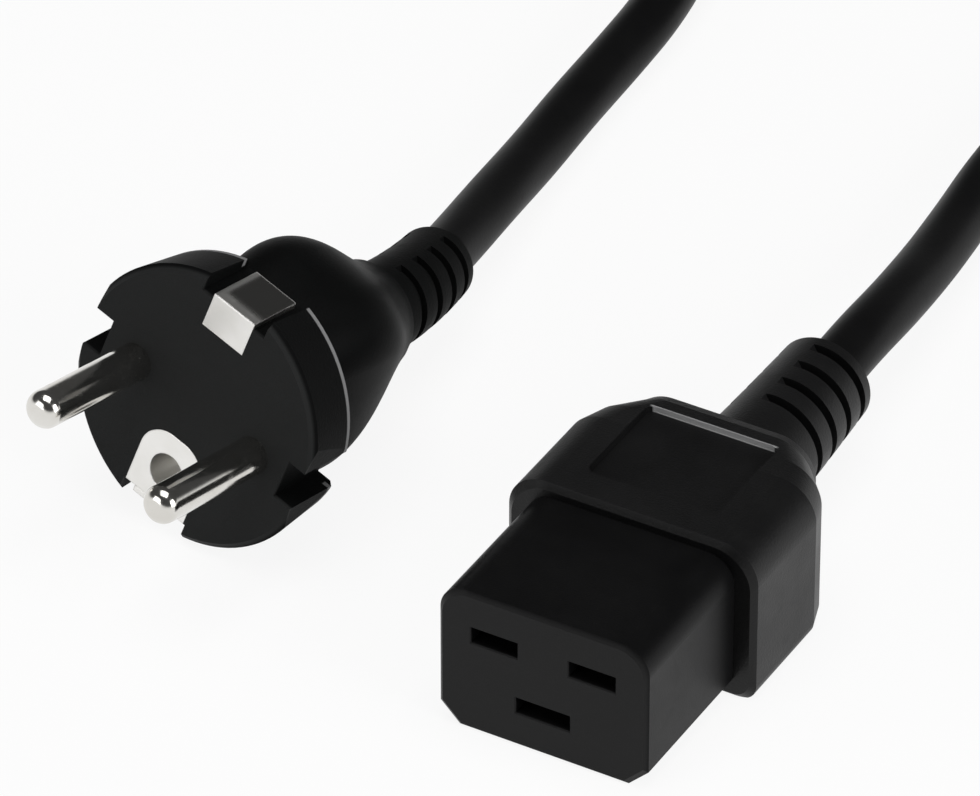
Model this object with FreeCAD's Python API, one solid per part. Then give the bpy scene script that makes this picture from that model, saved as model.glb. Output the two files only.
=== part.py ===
import FreeCAD, Part
import math
import os

# C19 appliance connector on its mains lead: a slotted carrier with three female contacts,
# moulded into a grip with a ribbed strain relief, 1.8 m of round cord, and an earthed mains plug
# with two round pins, side earth clips and an earth socket.
# Frame: mm, +X across the connector, the slotted face looks to -Y, the cord leaves to +Y, +Z up.
# The origin is the bottom centre of the connector's own box; everything lies on z = 0.

Vector = FreeCAD.Vector
Placement = FreeCAD.Placement
Rotation = FreeCAD.Rotation

# ---- Cord -------------------------------------------------------------------------------
CORD_D = 7.4                 # sheath of three 1.5 mm2 cores
CORE_D = 2.7                 # insulated core
WIRE_D = 1.6                 # bare stranded conductor
CORE_RING = 1.62             # centres of the three cores from the cord's axis
BARE_LEN = 5.0               # stripped length inside a crimp barrel
CORE_STRAIGHT = 1.0          # straight ends of a core, out of its barrel and into the sheath
CORE_SPREAD = 12.0           # room for the cores between the carrier and the sheath
NECK_IN = 2.0                # a strain relief's root inside its grip
OVERCUT = 2.0                # a cutting tool runs past the surface it opens

# ---- Connector nose ---------------------------------------------------------------------
PIN_PITCH = 13.0             # line to neutral, centre to centre
EARTH_DROP = 8.0             # earth slot below the line and neutral slots
LIVE_BLADE_W = 6.0           # the mating blades
EARTH_BLADE_W = 7.0
BLADE_T = 2.0
SLOT_GAP = 0.1               # clearance round the blade in the face
NOSE_W = 27.8
NOSE_H = 20.0
NOSE_LEN = 20.8              # free length in front of the grip
NOSE_KEY = 2.6               # cut lower corners
NOSE_ROUND = 3.6             # upper corners
NOSE_EDGE = 0.5              # broken edge round the face
SLOT_LEAD = 0.15             # lead-in of each slot
FACE_WALL = 3.6              # face wall in front of the contact chambers
ROOT_LEN = 7.0               # carrier held inside the grip
ROOT_STEP = 1.6              # root smaller than the nose, each side

# ---- Female contacts --------------------------------------------------------------------
SHEET_T = 0.5
BLADE_GAP = 0.1              # sleeve over blade, each side
CHAMBER_GAP = 0.2            # chamber over sleeve, each side
SLEEVE_LEN = 13.0
SEAM_W = 0.5
TAIL_W = 4.0
TAIL_LEN = 2.0
BARREL_D = 3.2
BARREL_WALL = 0.7
BARREL_LEN = 5.5

# ---- Grip -------------------------------------------------------------------------------
GRIP_W = 33.4                # straight front part
GRIP_SHOULDER_W = 31.0       # halfway along the shoulders
GRIP_REAR_W = 25.0
GRIP_H = 21.6
GRIP_LEN = 24.6
GRIP_STRAIGHT = 15.0         # length of the straight sides
GRIP_TOP_FALL = 0.4          # top lower at the rear
GRIP_TOP_ROUND = 5.0
GRIP_LOW_ROUND = 2.2
GRIP_EDGE = 0.7              # front edge
GRIP_TAIL_ROUND = 2.4        # rear edge
SOLE_SKIM = 0.3              # taken off the underside, which leaves it flat
PANEL_W = 17.6               # recessed panel on top
PANEL_LEN = 15.5
PANEL_DEPTH = 1.0
PANEL_FROM_REAR = 4.2
PANEL_ROUND = 1.2

# ---- Connector strain relief ------------------------------------------------------------
RELIEF_Z = 9.4               # axis above the floor
RELIEF_D = 14.4
RELIEF_END_D = 12.4
RELIEF_LEN = 25.6
RELIEF_BEND = 2.0            # degrees over its length
RELIEF_BEND_TO = 175.0       # direction of the bend in XZ, degrees from +X
GROOVE_COUNT = 4
GROOVE_PITCH = 4.1
GROOVE_W = 1.4
GROOVE_DEPTH = 1.4
GROOVE_FIRST = 9.6           # first groove from the grip
WEB_W = 4.4                  # bridges left across each groove
WEB_AT = 118.0               # their direction, degrees from +X
RELIEF_RIM = 0.8             # broken end edge

# ---- Mains plug -------------------------------------------------------------------------
PLUG_X = -57.5               # centre of its face
PLUG_Y = -18.6
PLUG_Z = 18.4
PLUG_HEADING = -6.6          # degrees about +Z
PLUG_PITCH = -10.1           # pins upward, as the flange's rim and the cord hold it
PLUG_ROLL = 16.7
FLANGE_D = 36.0
FLANGE_REAR_D = 34.4
FLANGE_LEN = 9.0
FLANGE_EDGE = 0.8
GUIDE_W = 5.6                # side grooves for the socket's guides
GUIDE_FLOOR = 14.2
FLANGE_FLAT = 16.9           # side flats from the axis
CLIP_SEAT_W = 10.0
PLUG_PIN_D = 4.8
PLUG_PIN_PITCH = 19.0
PLUG_PIN_LEN = 19.0
PLUG_PIN_TIP = 1.7           # rounding of the pin's tip
PLUG_SHANK_D = 4.0           # pin inside the moulding
PLUG_SHANK_OUT = 1.0         # shank behind the bridge and the earth strap
EARTH_BORE = 4.9
EARTH_BORE_Z = -10.4
EARTH_TUBE_WALL = 0.6
EARTH_PLATE_W = 9.4
EARTH_PLATE_TOP = -5.2
STRAP_W = 6.4
STRAP_T = 0.8
STRAP_OUT = 15.8             # outer faces of the two clips from the axis
STRAP_LIP = 4.8              # clip turned over the face
BRIDGE_D = 26.0
BRIDGE_FROM = 2.2
BRIDGE_LEN = 5.2
PLUG_GRIP = (                # distance behind the face, half width, half height, corner radius
    (9.0, 8.8, 10.4, 5.5),
    (15.0, 10.4, 13.0, 6.5),
    (22.0, 10.8, 13.4, 7.0),
    (28.0, 9.4, 10.6, 7.0),
    (35.0, 6.8, 7.0, 6.4),
)
PLUG_RELIEF_D = 11.8
PLUG_RELIEF_END_D = 10.2
PLUG_RELIEF_LEN = 18.0
PLUG_RELIEF_BEND = 16.0
PLUG_RELIEF_BEND_TO = 200.0
PLUG_GROOVE_COUNT = 4
PLUG_GROOVE_PITCH = 3.7
PLUG_GROOVE_FIRST = 3.2
PLUG_GROOVE_DEPTH = 0.9
PLUG_SHEATH_FROM = 25.0      # cut end of the sheath behind the face

# ---- Cord route and coil ----------------------------------------------------------------
LEAD_RUN = 8.8               # straight start out of each strain relief
CONNECTOR_ROUTE = (
    (-1.4, 55.5, 8.2),
    (-3.0, 67.0, 5.8),
    (-4.7, 78.0, 4.5),
    (-6.1, 89.0, 3.9),
    (-6.7, 100.5, 3.9),
    (-5.1, 112.5, 4.0),
    (-0.3, 124.5, 4.3),
    (7.0, 136.5, 4.8),
    (11.8, 148.5, 5.1),
    (13.4, 160.5, 5.2),
    (13.4, 168.0, 5.2),
)
PLUG_ROUTE = (
    (-57.1, 54.5, 5.7),
    (-58.6, 66.5, 4.4),
    (-59.7, 78.5, 3.9),
    (-60.4, 90.5, 3.9),
    (-61.0, 102.5, 3.9),
    (-63.0, 114.1, 4.6),
    (-68.8, 125.7, 6.7),
    (-77.6, 137.3, 9.8),
    (-83.4, 148.9, 11.9),
    (-85.4, 160.5, 12.6),
    (-85.4, 168.0, 12.6),
)
COIL_X = -36.0
COIL_Y = 195.5
COIL_R = 42.0                # middle of the turns
COIL_COLUMNS = 3
COIL_ROWS = 2
COIL_ROUND = 3.5
TIE_W = 12.0
TIE_T = 1.2
TIE_GAP = 0.3

# ---- Derived ----------------------------------------------------------------------------
BEND_RAD = math.radians(RELIEF_BEND)
RELIEF_REACH = RELIEF_LEN / BEND_RAD * math.sin(BEND_RAD)
RELIEF_REACH += (RELIEF_END_D / 2 - RELIEF_RIM) * math.sin(BEND_RAD)
FACE_Y = -(NOSE_LEN + GRIP_LEN + RELIEF_REACH) / 2
GRIP_Y = FACE_Y + NOSE_LEN
RELIEF_Y = GRIP_Y + GRIP_LEN
LIVE_Z = NOSE_H / 2 + EARTH_DROP / 2
EARTH_Z = NOSE_H / 2 - EARTH_DROP / 2
CONTACTS = {                 # x, z and blade width
    "line": (-PIN_PITCH / 2, LIVE_Z, LIVE_BLADE_W),
    "neutral": (PIN_PITCH / 2, LIVE_Z, LIVE_BLADE_W),
    "earth": (0.0, EARTH_Z, EARTH_BLADE_W),
}
SLEEVE_H = BLADE_T + 2 * BLADE_GAP + 2 * SHEET_T
SLEEVE_Y = FACE_Y + FACE_WALL
BARREL_Y = SLEEVE_Y + SLEEVE_LEN + TAIL_LEN
ROOT_END_Y = GRIP_Y + ROOT_LEN
SHEATH_FROM_Y = ROOT_END_Y + CORE_SPREAD
CORE_ANGLES = {"line": 150.0, "neutral": 30.0, "earth": 270.0}
SEAT = 0.3                   # gap between a core and its barrel
COIL_LIFT = TIE_T + TIE_GAP  # the coil lies on its tie


def box(x0, x1, y0, y1, z0, z1):
    return Part.makeBox(x1 - x0, y1 - y0, z1 - z0, Vector(x0, y0, z0))


def rod(d, x, z, y0, y1):
    """Round bar along Y."""
    return Part.makeCylinder(d / 2, y1 - y0, Vector(x, y0, z), Vector(0, 1, 0))


def section(y, half_w, z0, z1, top_r, low_r, low_cut=False):
    """Outline across Y with rounded upper corners and rounded or cut lower ones."""
    k = 1 - math.sqrt(0.5)
    edges = []

    def line(a, b):
        edges.append(Part.LineSegment(Vector(a[0], y, a[1]), Vector(b[0], y, b[1])).toShape())

    def arc(a, m, b):
        points = [Vector(p[0], y, p[1]) for p in (a, m, b)]
        edges.append(Part.Arc(*points).toShape())

    low_right = (half_w - low_r, z0), (half_w - k * low_r, z0 + k * low_r), (half_w, z0 + low_r)
    top_right = (half_w, z1 - top_r), (half_w - k * top_r, z1 - k * top_r), (half_w - top_r, z1)
    top_left = tuple((-x, z) for x, z in reversed(top_right))
    low_left = tuple((-x, z) for x, z in reversed(low_right))
    line(low_left[2], low_right[0])
    line(low_right[0], low_right[2]) if low_cut else arc(*low_right)
    line(low_right[2], top_right[0])
    arc(*top_right)
    line(top_right[2], top_left[0])
    arc(*top_left)
    line(top_left[2], low_left[0])
    line(low_left[0], low_left[2]) if low_cut else arc(*low_left)
    return Part.Wire(edges)


def loft(wires, ruled=True):
    return Part.makeLoft(wires, True, ruled)


def circle(d, place):
    """Circle of diameter d across the local Y of a placement."""
    return Part.Wire([Part.makeCircle(d / 2, place.Base, place.Rotation.multVec(Vector(0, 1, 0)))])


def tube(points, d):
    """Round tube along straight runs joined by tangent arcs; returns the solid, its length and radii."""
    edges = []
    radii = []
    start = points[0]
    for before, corner, after in zip(points, points[1:], points[2:]):
        a = corner - before
        b = after - corner
        reach = 0.45 * min(a.Length, b.Length)
        half_turn = a.getAngle(b) / 2
        radii.append(reach / math.tan(half_turn))
        ahead = Vector(a).normalize()
        onward = Vector(b).normalize()
        p = corner - ahead * reach
        q = corner + onward * reach
        inward = (onward - ahead).normalize()
        depth = radii[-1] / math.cos(half_turn) - radii[-1]
        edges.append(Part.LineSegment(start, p).toShape())
        edges.append(Part.Arc(p, corner + inward * depth, q).toShape())
        start = q
    edges.append(Part.LineSegment(start, points[-1]).toShape())
    path = Part.Wire(edges)
    direction = (points[1] - points[0]).normalize()
    ring = Part.Wire([Part.makeCircle(d / 2, points[0], direction)])
    solid = path.makePipeShell([ring], True, True)
    return solid, path.Length, radii


def along_bend(s, length, bend, bend_to):
    """Placement at distance s along an arc that starts along +Y and turns by `bend` over `length`."""
    turn = math.radians(bend) * s / length
    radius = length / math.radians(bend)
    aside = Vector(math.cos(math.radians(bend_to)), 0, math.sin(math.radians(bend_to)))
    ahead = Vector(0, 1, 0)
    base = ahead * (radius * math.sin(turn)) + aside * (radius * (1 - math.cos(turn)))
    return Placement(base, Rotation(ahead.cross(aside), math.degrees(turn)))


def strain_relief(length, bend, bend_to, d0, d1, grooves, first, pitch, depth):
    """Bent, tapering sleeve from the origin along +Y, with bridged ring grooves."""
    def place(s):
        return along_bend(s, length, bend, bend_to)

    def width(s):
        return d0 + (d1 - d0) * s / length

    stations = [length * k / 6 for k in range(6)] + [length - RELIEF_RIM]
    wires = [circle(width(s), place(s)) for s in stations]
    wires.append(circle(d1 - 2 * RELIEF_RIM, place(length)))
    body = loft(wires)
    web_turn = Rotation(Vector(0, 1, 0), -WEB_AT)
    for k in range(grooves):
        s = first + k * pitch
        outer = rod(d0 + 2 * OVERCUT, 0, 0, 0, GROOVE_W)
        inner = rod(width(s) - 2 * depth, 0, 0, 0, GROOVE_W)
        web = box(-d0, d0, 0, GROOVE_W, -WEB_W / 2, WEB_W / 2)
        web.Placement = Placement(Vector(), web_turn)
        groove = outer.cut(inner).cut(web)
        groove.Placement = place(s)
        body = body.cut(groove)
    return body


def relief_path(length, bend, bend_to, lead):
    """Centre line through a strain relief: a lead, the point where its two tangents meet, its end."""
    half_turn = math.radians(bend) / 2
    tangent = length / (2 * half_turn) * math.tan(half_turn)
    end = along_bend(length, length, bend, bend_to).Base
    return [Vector(0, -lead, 0), Vector(0, tangent, 0), end]


def core(x, z, y0, y_out, y_in, y1, cx, cz, d):
    """Insulated core: straight out of its barrel, slanting, then straight into the sheath."""
    stops = ((x, y0, z), (x, y_out, z), (cx, y_in, cz), (cx, y1, cz))
    return loft([circle(d, Placement(Vector(*p), Rotation())) for p in stops])


def core_seats(cx, cz):
    """Place of each core in the cut end of the sheath."""
    seats = {}
    for name, angle in CORE_ANGLES.items():
        a = math.radians(angle)
        seats[name] = (cx + CORE_RING * math.cos(a), cz + CORE_RING * math.sin(a))
    return seats


# ---- Connector --------------------------------------------------------------------------
def carrier_root():
    """Stepped rear of the carrier, held inside the grip."""
    half = NOSE_W / 2 - ROOT_STEP
    return box(-half, half, GRIP_Y, ROOT_END_Y, ROOT_STEP, NOSE_H - ROOT_STEP)


def contact_carrier():
    """Rigid insert: the keyed nose with three blade slots and the root that the grip holds."""
    half = NOSE_W / 2
    e = NOSE_EDGE
    nose = loft([
        section(FACE_Y, half - e, e, NOSE_H - e, NOSE_ROUND, NOSE_KEY, True),
        section(FACE_Y + e, half, 0, NOSE_H, NOSE_ROUND, NOSE_KEY, True),
        section(GRIP_Y, half, 0, NOSE_H, NOSE_ROUND, NOSE_KEY, True),
    ])
    body = nose.fuse(carrier_root()).removeSplitter()
    for contact in CONTACTS.values():
        body = body.cut(blade_slot(*contact)).cut(contact_chamber(*contact))
    return body


def blade_slot(x, z, blade_w):
    """Slot for one blade through the face wall, with its lead-in."""
    w = blade_w / 2 + SLOT_GAP
    t = BLADE_T / 2 + SLOT_GAP
    slot = box(x - w, x + w, FACE_Y - OVERCUT, SLEEVE_Y, z - t, z + t)
    lead = loft([
        rectangle(FACE_Y, x, z, w + SLOT_LEAD, t + SLOT_LEAD),
        rectangle(FACE_Y + SLOT_LEAD, x, z, w, t),
    ])
    return slot.fuse(lead)


def rectangle(y, x, z, half_w, half_h):
    corners = ((-half_w, -half_h), (half_w, -half_h), (half_w, half_h), (-half_w, half_h), (-half_w, -half_h))
    return Part.makePolygon([Vector(x + a, y, z + b) for a, b in corners])


def sleeve_half_width(blade_w):
    return blade_w / 2 + BLADE_GAP + SHEET_T


def contact_chamber(x, z, blade_w):
    w = sleeve_half_width(blade_w) + CHAMBER_GAP
    h = SLEEVE_H / 2 + CHAMBER_GAP
    return box(x - w, x + w, SLEEVE_Y, ROOT_END_Y, z - h, z + h)


def female_contact(x, z, blade_w):
    """Folded sheet sleeve with an open seam, a tail strip and a crimp barrel."""
    w = sleeve_half_width(blade_w)
    h = SLEEVE_H / 2
    t = SHEET_T
    y0 = SLEEVE_Y + CHAMBER_GAP
    y1 = y0 + SLEEVE_LEN
    sleeve = box(x - w, x + w, y0, y1, z - h, z + h)
    sleeve = sleeve.cut(box(x - w + t, x + w - t, y0, y1, z - h + t, z + h - t))
    sleeve = sleeve.cut(box(x - SEAM_W / 2, x + SEAM_W / 2, y0, y1, z, z + h))
    tail = box(x - TAIL_W / 2, x + TAIL_W / 2, y1, BARREL_Y + BARREL_LEN, z - h, z - h + t)
    barrel = rod(BARREL_D, x, z, BARREL_Y, BARREL_Y + BARREL_LEN)
    bore = rod(BARREL_D - 2 * BARREL_WALL, x, z, BARREL_Y, BARREL_Y + BARREL_LEN)
    return sleeve.fuse(tail).fuse(barrel).cut(bore).removeSplitter()


def conductor(x, z, y_end):
    """Bare wire that fills its crimp barrel up to the end of the insulation."""
    return rod(WIRE_D, x, z, y_end - BARE_LEN, y_end)


def grip():
    """Moulded grip: straight sides, shoulders towards the cord, a flat sole and a recessed panel."""
    w0 = GRIP_W / 2
    w1 = GRIP_REAR_W / 2
    side_end = GRIP_Y + GRIP_STRAIGHT
    half_way = (side_end + RELIEF_Y - GRIP_TAIL_ROUND) / 2
    e = GRIP_EDGE
    r = GRIP_TAIL_ROUND
    z_low = -SOLE_SKIM
    z_top = GRIP_H - GRIP_TOP_FALL
    wires = [
        section(GRIP_Y, w0 - e, z_low + e, GRIP_H - e, GRIP_TOP_ROUND, GRIP_LOW_ROUND),
        section(GRIP_Y + e, w0, z_low, GRIP_H, GRIP_TOP_ROUND, GRIP_LOW_ROUND),
        section(side_end, w0, z_low, GRIP_H, GRIP_TOP_ROUND, GRIP_LOW_ROUND),
        section(half_way, GRIP_SHOULDER_W / 2, z_low, GRIP_H - GRIP_TOP_FALL / 2,
                GRIP_TOP_ROUND, GRIP_LOW_ROUND),
        section(RELIEF_Y - r, w1, z_low, z_top, GRIP_TOP_ROUND, GRIP_LOW_ROUND),
    ]
    for angle in (30, 60, 90):
        inset = r * (1 - math.cos(math.radians(angle)))
        y = RELIEF_Y - r + r * math.sin(math.radians(angle))
        wires.append(section(y, w1 - inset, z_low + inset, z_top - inset, GRIP_TOP_ROUND, GRIP_LOW_ROUND))
    panel_y1 = RELIEF_Y - PANEL_FROM_REAR
    panel = box(-PANEL_W / 2, PANEL_W / 2, panel_y1 - PANEL_LEN, panel_y1,
                GRIP_H - PANEL_DEPTH, GRIP_H + OVERCUT)
    uprights = [edge for edge in panel.Edges if abs(edge.tangentAt(edge.FirstParameter).z) > 0.9]
    skim = box(-w0, w0, GRIP_Y, RELIEF_Y, -OVERCUT, 0)
    return loft(wires).cut(skim).cut(panel.makeFillet(PANEL_ROUND, uprights))


def connector():
    """All pieces of the connector by node name, and the cord's exit placement."""
    relief_base = Vector(0, RELIEF_Y, RELIEF_Z)
    bend = (RELIEF_LEN, RELIEF_BEND, RELIEF_BEND_TO)
    relief = strain_relief(*bend, RELIEF_D, RELIEF_END_D, GROOVE_COUNT, GROOVE_FIRST, GROOVE_PITCH,
                           GROOVE_DEPTH)
    relief.translate(relief_base)
    neck = rod(RELIEF_D, 0, RELIEF_Z, RELIEF_Y - NECK_IN, RELIEF_Y)
    carrier = contact_carrier()
    path = [p + relief_base for p in relief_path(*bend, RELIEF_Y - SHEATH_FROM_Y)]
    sheath = tube(path, CORD_D)[0]
    overmould = grip().fuse(neck).fuse(relief).removeSplitter().cut(carrier_root()).cut(sheath)
    nodes = {"c19_contact_carrier": carrier, "c19_sheath_end": sheath}
    seats = core_seats(0, RELIEF_Z)
    y_core = BARREL_Y + BARREL_LEN + SEAT
    for name, (x, z, blade_w) in CONTACTS.items():
        cx, cz = seats[name]
        insulated = core(x, z, y_core, ROOT_END_Y + CORE_STRAIGHT, SHEATH_FROM_Y - CORE_STRAIGHT,
                         SHEATH_FROM_Y, cx, cz, CORE_D)
        nodes["c19_contact_" + name] = female_contact(x, z, blade_w)
        nodes["c19_wire_" + name] = conductor(x, z, y_core)
        nodes["c19_core_" + name] = insulated
        overmould = overmould.cut(insulated)
    nodes["c19_overmould"] = overmould
    exit_place = Placement(relief_base, Rotation()).multiply(along_bend(RELIEF_LEN, *bend))
    return nodes, exit_place


# ---- Mains plug, in its own frame: face on y = 0, pins to -Y, grip to +Y ------------------
def plug_flange():
    """Round front with a broken edge, side guide grooves, side flats and two clip seats."""
    r0 = FLANGE_D / 2
    r1 = FLANGE_REAR_D / 2
    e = FLANGE_EDGE
    y1 = FLANGE_LEN
    outline = [(0, 0), (r0 - e, 0), (r0, e), (r1, y1 - e), (r1 - e, y1), (0, y1), (0, 0)]
    profile = Part.Face(Part.makePolygon([Vector(x, y, 0) for x, y in outline]))
    disc = profile.revolve(Vector(), Vector(0, 1, 0), 360)
    through = (-OVERCUT, y1 + OVERCUT)
    for side in (-1, 1):
        guide = sorted((side * GUIDE_FLOOR, side * FLANGE_D))
        flat = sorted((side * FLANGE_FLAT, side * FLANGE_D))
        seat = sorted((side * (STRAP_OUT - STRAP_T), side * FLANGE_D))
        disc = disc.cut(box(*guide, *through, -GUIDE_W / 2, GUIDE_W / 2))
        disc = disc.cut(box(*flat, *through, -FLANGE_D, FLANGE_D))
        disc = disc.cut(box(-CLIP_SEAT_W / 2, CLIP_SEAT_W / 2, *through, *seat))
    return disc


def plug_pin(x):
    """Solid pin with a rounded tip, a shank through the bridge and a crimp barrel behind it."""
    back = BRIDGE_FROM + BRIDGE_LEN + STRAP_T + PLUG_SHANK_OUT
    bar = rod(PLUG_PIN_D, x, 0, -PLUG_PIN_LEN, 0)
    tip = [edge for edge in bar.Edges if edge.BoundBox.YMax < -PLUG_PIN_LEN + 0.01]
    bar = bar.makeFillet(PLUG_PIN_TIP, tip)
    bar = bar.fuse(rod(PLUG_SHANK_D, x, 0, 0, back))
    barrel = rod(BARREL_D, x, 0, back, back + BARREL_LEN)
    bore = rod(BARREL_D - 2 * BARREL_WALL, x, 0, back, back + BARREL_LEN)
    return bar.fuse(barrel).cut(bore).removeSplitter(), back + BARREL_LEN


def earth_strap():
    """Bent strip: a web behind the bridge, two side clips and a lip over the face at the top."""
    w = STRAP_W / 2
    out = STRAP_OUT
    t = STRAP_T
    y_web = BRIDGE_FROM + BRIDGE_LEN
    web = box(-w, w, y_web, y_web + t, -out, out)
    upper = box(-w, w, 0, y_web + t, out - t, out)
    lower = box(-w, w, 0, y_web + t, -out, -out + t)
    lip = box(-w, w, 0, t, out - STRAP_LIP, out)
    barrel_z = EARTH_BORE_Z / 2
    barrel = rod(BARREL_D, 0, barrel_z, y_web + t, y_web + t + BARREL_LEN)
    bore = rod(BARREL_D - 2 * BARREL_WALL, 0, barrel_z, y_web + t, y_web + t + BARREL_LEN)
    strap = web.fuse(upper).fuse(lower).fuse(lip).fuse(barrel).cut(bore).removeSplitter()
    return strap, barrel_z, y_web + t + BARREL_LEN


def earth_socket():
    """Female earth sleeve with the bright plate round its mouth."""
    d = EARTH_BORE + 2 * EARTH_TUBE_WALL
    sleeve = rod(d, 0, EARTH_BORE_Z, 0, BRIDGE_FROM + BRIDGE_LEN)
    w = EARTH_PLATE_W / 2
    plate = box(-w, w, 0, STRAP_T, -STRAP_OUT + STRAP_T, EARTH_PLATE_TOP)
    corners = [edge for edge in plate.Edges if abs(edge.tangentAt(edge.FirstParameter).y) > 0.9
               and edge.CenterOfMass.z > EARTH_BORE_Z]
    plate = plate.makeFillet(w * 0.8, corners)
    bore = rod(EARTH_BORE, 0, EARTH_BORE_Z, -OVERCUT, BRIDGE_FROM + BRIDGE_LEN)
    return sleeve.fuse(plate).cut(bore).removeSplitter()


def plug_bridge(hollows):
    """Rigid disc inside the moulding that holds pins, sleeve and strap apart."""
    body = rod(BRIDGE_D, 0, 0, BRIDGE_FROM, BRIDGE_FROM + BRIDGE_LEN)
    for hollow in hollows:
        body = body.cut(hollow)
    return body


def plug():
    """All pieces of the plug by node name, and the cord's exit placement, in the plug's own frame."""
    bend = (PLUG_RELIEF_LEN, PLUG_RELIEF_BEND, PLUG_RELIEF_BEND_TO)
    grip_end = PLUG_GRIP[-1][0]
    relief = strain_relief(*bend, PLUG_RELIEF_D, PLUG_RELIEF_END_D, PLUG_GROOVE_COUNT,
                           PLUG_GROOVE_FIRST, PLUG_GROOVE_PITCH, PLUG_GROOVE_DEPTH)
    relief_base = Vector(0, grip_end, 0)
    relief.translate(relief_base)
    body = loft([section(y, w, -h, h, r, r) for y, w, h, r in PLUG_GRIP], False)
    neck = rod(PLUG_RELIEF_D, 0, 0, grip_end - NECK_IN, grip_end)
    path = [p + relief_base for p in relief_path(*bend, grip_end - PLUG_SHEATH_FROM)]
    sheath = tube(path, CORD_D)[0]
    left_pin, pin_end = plug_pin(-PLUG_PIN_PITCH / 2)
    right_pin = plug_pin(PLUG_PIN_PITCH / 2)[0]
    strap, earth_z, strap_end = earth_strap()
    socket = earth_socket()
    socket_core = rod(EARTH_BORE, 0, EARTH_BORE_Z, -OVERCUT, BRIDGE_FROM + BRIDGE_LEN)
    metal = (left_pin, right_pin, strap, socket)
    bridge = plug_bridge(metal + (socket_core,))
    moulding = plug_flange().fuse(body).fuse(neck).fuse(relief).removeSplitter()
    for piece in metal + (socket_core, sheath, rod(BRIDGE_D, 0, 0, BRIDGE_FROM, BRIDGE_FROM + BRIDGE_LEN)):
        moulding = moulding.cut(piece)
    nodes = {
        "plug_pin_line": left_pin,
        "plug_pin_neutral": right_pin,
        "plug_earth_strap": strap,
        "plug_earth_socket": socket,
        "plug_bridge": bridge,
        "plug_sheath_end": sheath,
    }
    ends = {
        "line": (-PLUG_PIN_PITCH / 2, 0.0, pin_end),
        "neutral": (PLUG_PIN_PITCH / 2, 0.0, pin_end),
        "earth": (0.0, earth_z, strap_end),
    }
    seats = core_seats(0, 0)
    for name, (x, z, y_end) in ends.items():
        cx, cz = seats[name]
        y0 = y_end + SEAT
        insulated = core(x, z, y0, y0 + CORE_STRAIGHT, PLUG_SHEATH_FROM - CORE_STRAIGHT,
                         PLUG_SHEATH_FROM, cx, cz, CORE_D)
        wire = conductor(x, z, y0)
        nodes["plug_wire_" + name] = wire
        nodes["plug_core_" + name] = insulated
        moulding = moulding.cut(insulated).cut(wire)
    nodes["plug_overmould"] = moulding
    exit_place = Placement(relief_base, Rotation()).multiply(along_bend(PLUG_RELIEF_LEN, *bend))
    return nodes, exit_place


# ---- Cord -------------------------------------------------------------------------------
def run(exit_place, route):
    """Tube from a strain relief's end face along its route."""
    start = exit_place.Base
    ahead = exit_place.Rotation.multVec(Vector(0, 1, 0))
    points = [start, start + ahead * LEAD_RUN] + [Vector(*p) for p in route]
    solid, length, radii = tube(points, CORD_D)
    expected = math.pi * CORD_D ** 2 / 4 * length
    print("run %.0f mm, volume/expected %.4f" % (length, solid.Volume / expected),
          "radii", " ".join("%.0f" % r for r in radii))
    return solid, length


def coil_row_z(row):
    return COIL_LIFT + CORD_D / 2 + row * CORD_D


def coil():
    """Outer shape of the coiled turns with the two straight tails that meet the runs."""
    half = COIL_COLUMNS * CORD_D / 2
    z0 = COIL_LIFT
    z1 = COIL_LIFT + COIL_ROWS * CORD_D
    ring_section = section(0, half, z0, z1, COIL_ROUND, COIL_ROUND)
    ring_section.translate(Vector(COIL_R, 0, 0))
    ring = Part.Face(ring_section).revolve(Vector(), Vector(0, 0, 1), 360)
    ring.translate(Vector(COIL_X, COIL_Y, 0))
    for x, row, route in ((1, 0, CONNECTOR_ROUTE), (-1, COIL_ROWS - 1, PLUG_ROUTE)):
        tail_x = COIL_X + x * (COIL_R + half - CORD_D / 2)
        ring = ring.fuse(rod(CORD_D, tail_x, coil_row_z(row), route[-1][1], COIL_Y))
    return ring.removeSplitter()


def coil_tie():
    """Flat strap round the coil's section on its far side."""
    half = COIL_COLUMNS * CORD_D / 2
    bore_r = COIL_R - half
    y0 = math.sqrt(bore_r ** 2 - (TIE_W / 2) ** 2) - TIE_GAP
    y1 = COIL_R + half + TIE_GAP
    z0 = COIL_LIFT - TIE_GAP
    z1 = COIL_LIFT + COIL_ROWS * CORD_D + TIE_GAP
    r = COIL_ROUND
    outer = box(-TIE_W / 2, TIE_W / 2, y0 - TIE_T, y1 + TIE_T, z0 - TIE_T, z1 + TIE_T)
    inner = box(-TIE_W / 2, TIE_W / 2, y0, y1, z0, z1)
    lengthwise = [edge for edge in outer.Edges if abs(edge.tangentAt(edge.FirstParameter).x) > 0.9]
    outer = outer.makeFillet(r, lengthwise)
    lengthwise = [edge for edge in inner.Edges if abs(edge.tangentAt(edge.FirstParameter).x) > 0.9]
    inner = inner.makeFillet(r - TIE_T, lengthwise)
    tie = outer.cut(inner)
    tie.translate(Vector(COIL_X, COIL_Y, 0))
    return tie


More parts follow.
